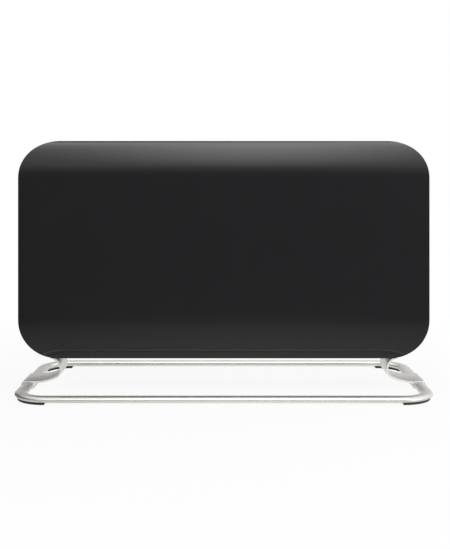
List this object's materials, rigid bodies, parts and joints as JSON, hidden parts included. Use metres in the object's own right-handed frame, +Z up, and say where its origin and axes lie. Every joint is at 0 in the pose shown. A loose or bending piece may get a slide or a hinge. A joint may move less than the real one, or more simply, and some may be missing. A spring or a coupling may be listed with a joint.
{
  "type": "convector heater",
  "caption": "Slim black panel convector heater with a rolled top and rounded corners, carried by curled brackets on a looped silver rail stand, with rear knob and rocker controls.",
  "frame": {"origin": "on the floor under the middle of the stand", "axes": "+X to the right seen from the front, the front faces -Y, +Z up"},
  "size_m": [0.658, 0.278, 0.4025],
  "materials": {
    "black_panel": "semi-gloss black stove enamel",
    "satin_aluminium": "satin polished",
    "pad_rubber": "matt",
    "black_plastic": "fine grained",
    "knob_plastic": "satin",
    "rocker_plastic": "gloss",
    "pale_plastic": "matt, heat-resistant",
    "galvanised": "galvanised sheet",
    "bright_steel": "zinc plated",
    "black_screw": "black zinc",
    "element_aluminium": "mill finish",
    "silicone": "matt silicone",
    "wire_sleeve": "braided glass sleeve"
  },
  "bodies": {
    "heater": {"air_baffle": "galvanised", "bracket_bolts": "bright_steel", "bracket_nuts": "bright_steel", "control_panel": "black_plastic", "control_panel_screws": "black_screw", "control_partition": "galvanised", "cord_gland": "black_plastic", "element_fins": "element_aluminium", "element_rod": "bright_steel", "front_left_pad": "pad_rubber", "front_panel": "black_panel", "front_rail": "satin_aluminium", "front_right_pad": "pad_rubber", "inlet_grille": "black_panel", "inlet_grille_screws": "black_screw", "left_element_bush": "silicone", "left_end_frame": "galvanised", "left_foot_bracket": "satin_aluminium", "lower_switch_housing": "black_plastic", "outlet_grille": "black_plastic", "rail_screws": "bright_steel", "rear_left_pad": "pad_rubber", "rear_panel": "black_panel", "rear_panel_screws": "black_screw", "rear_rail": "satin_aluminium", "rear_right_pad": "pad_rubber", "right_element_bush": "silicone", "right_end_frame": "galvanised", "right_foot_bracket": "satin_aluminium", "terminal_block": "pale_plastic", "thermal_cutout": "black_plastic", "thermostat": "pale_plastic", "tilt_switch": "black_plastic", "upper_switch_housing": "black_plastic", "wiring": "wire_sleeve"},
    "thermostat_dial": {"thermostat_knob": "knob_plastic", "thermostat_spindle": "bright_steel"},
    "lower_switch_rocker": {"lower_rocker": "rocker_plastic"},
    "upper_switch_rocker": {"upper_rocker": "rocker_plastic"}
  },
  "joints": [
    {"name": "thermostat_turn", "type": "hinge", "parent": "heater", "child": "thermostat_dial", "pos_m": [0.232, 0.0334, 0.292], "axis": [0, -1, 0], "range_deg": [0, 270]},
    {"name": "lower_switch_rock", "type": "hinge", "parent": "heater", "child": "lower_switch_rocker", "pos_m": [0.232, 0.0339, 0.207], "axis": [1, 0, 0], "range_deg": [0, 20]},
    {"name": "upper_switch_rock", "type": "hinge", "parent": "heater", "child": "upper_switch_rocker", "pos_m": [0.232, 0.0339, 0.237], "axis": [1, 0, 0], "range_deg": [0, 20]}
  ]
}
